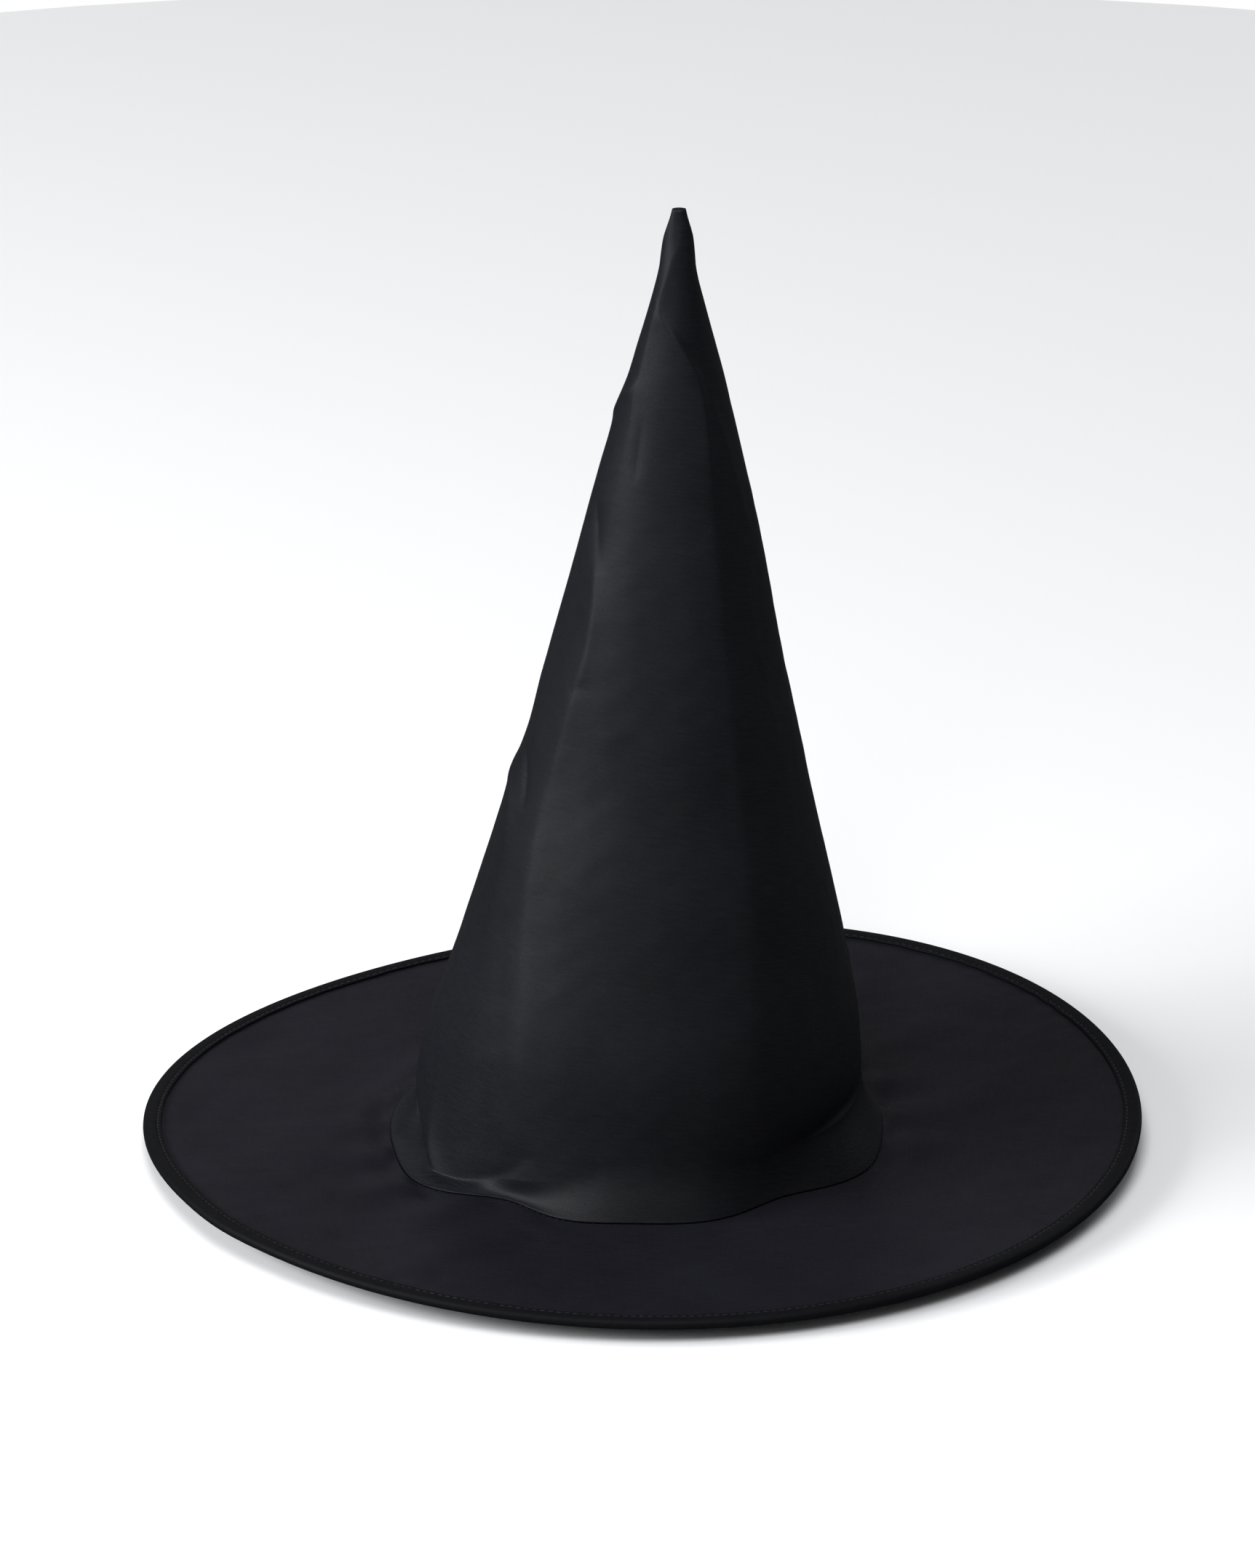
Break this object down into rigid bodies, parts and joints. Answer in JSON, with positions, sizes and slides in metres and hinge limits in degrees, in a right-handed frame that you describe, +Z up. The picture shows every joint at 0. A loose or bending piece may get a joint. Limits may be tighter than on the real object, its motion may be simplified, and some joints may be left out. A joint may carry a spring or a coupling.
{
  "type": "witch hat",
  "caption": "Black pointed costume hat: a tall cloth cone sewn to a wide, flat, round brim held open by a wire hoop in a taped edge.",
  "frame": {"origin": "centre of the brim's circle on the surface the hat stands on, which its binding touches", "axes": "+Z up through the crown, -Y towards the front, +X to the wearer's left, which is the right side of the picture"},
  "size_m": [0.38, 0.38, 0.384],
  "materials": {
    "crown_cloth": "black polyester plain weave with a soft sheen",
    "brim_cloth": "black polyester plain weave with a soft, slightly blue sheen",
    "binding_tape": "matt black woven bias tape",
    "stiffener": "matt black non-woven interlining",
    "ribbon": "black ribbed grosgrain ribbon",
    "thread": "black polyester sewing thread",
    "spring_steel": "drawn spring steel wire and its crimped sleeve"
  },
  "bodies": {
    "root": {"crown_shell": "crown_cloth", "crown_interlining": "stiffener", "brim_top_cloth": "brim_cloth", "brim_interlining": "stiffener", "brim_under_cloth": "brim_cloth", "edge_binding": "binding_tape", "brim_hoop": "spring_steel", "hoop_ferrule": "spring_steel", "sweatband": "ribbon", "crown_seam_thread": "thread", "base_seam_thread": "thread", "binding_thread": "thread", "sweatband_thread": "thread"}
  },
  "joints": []
}
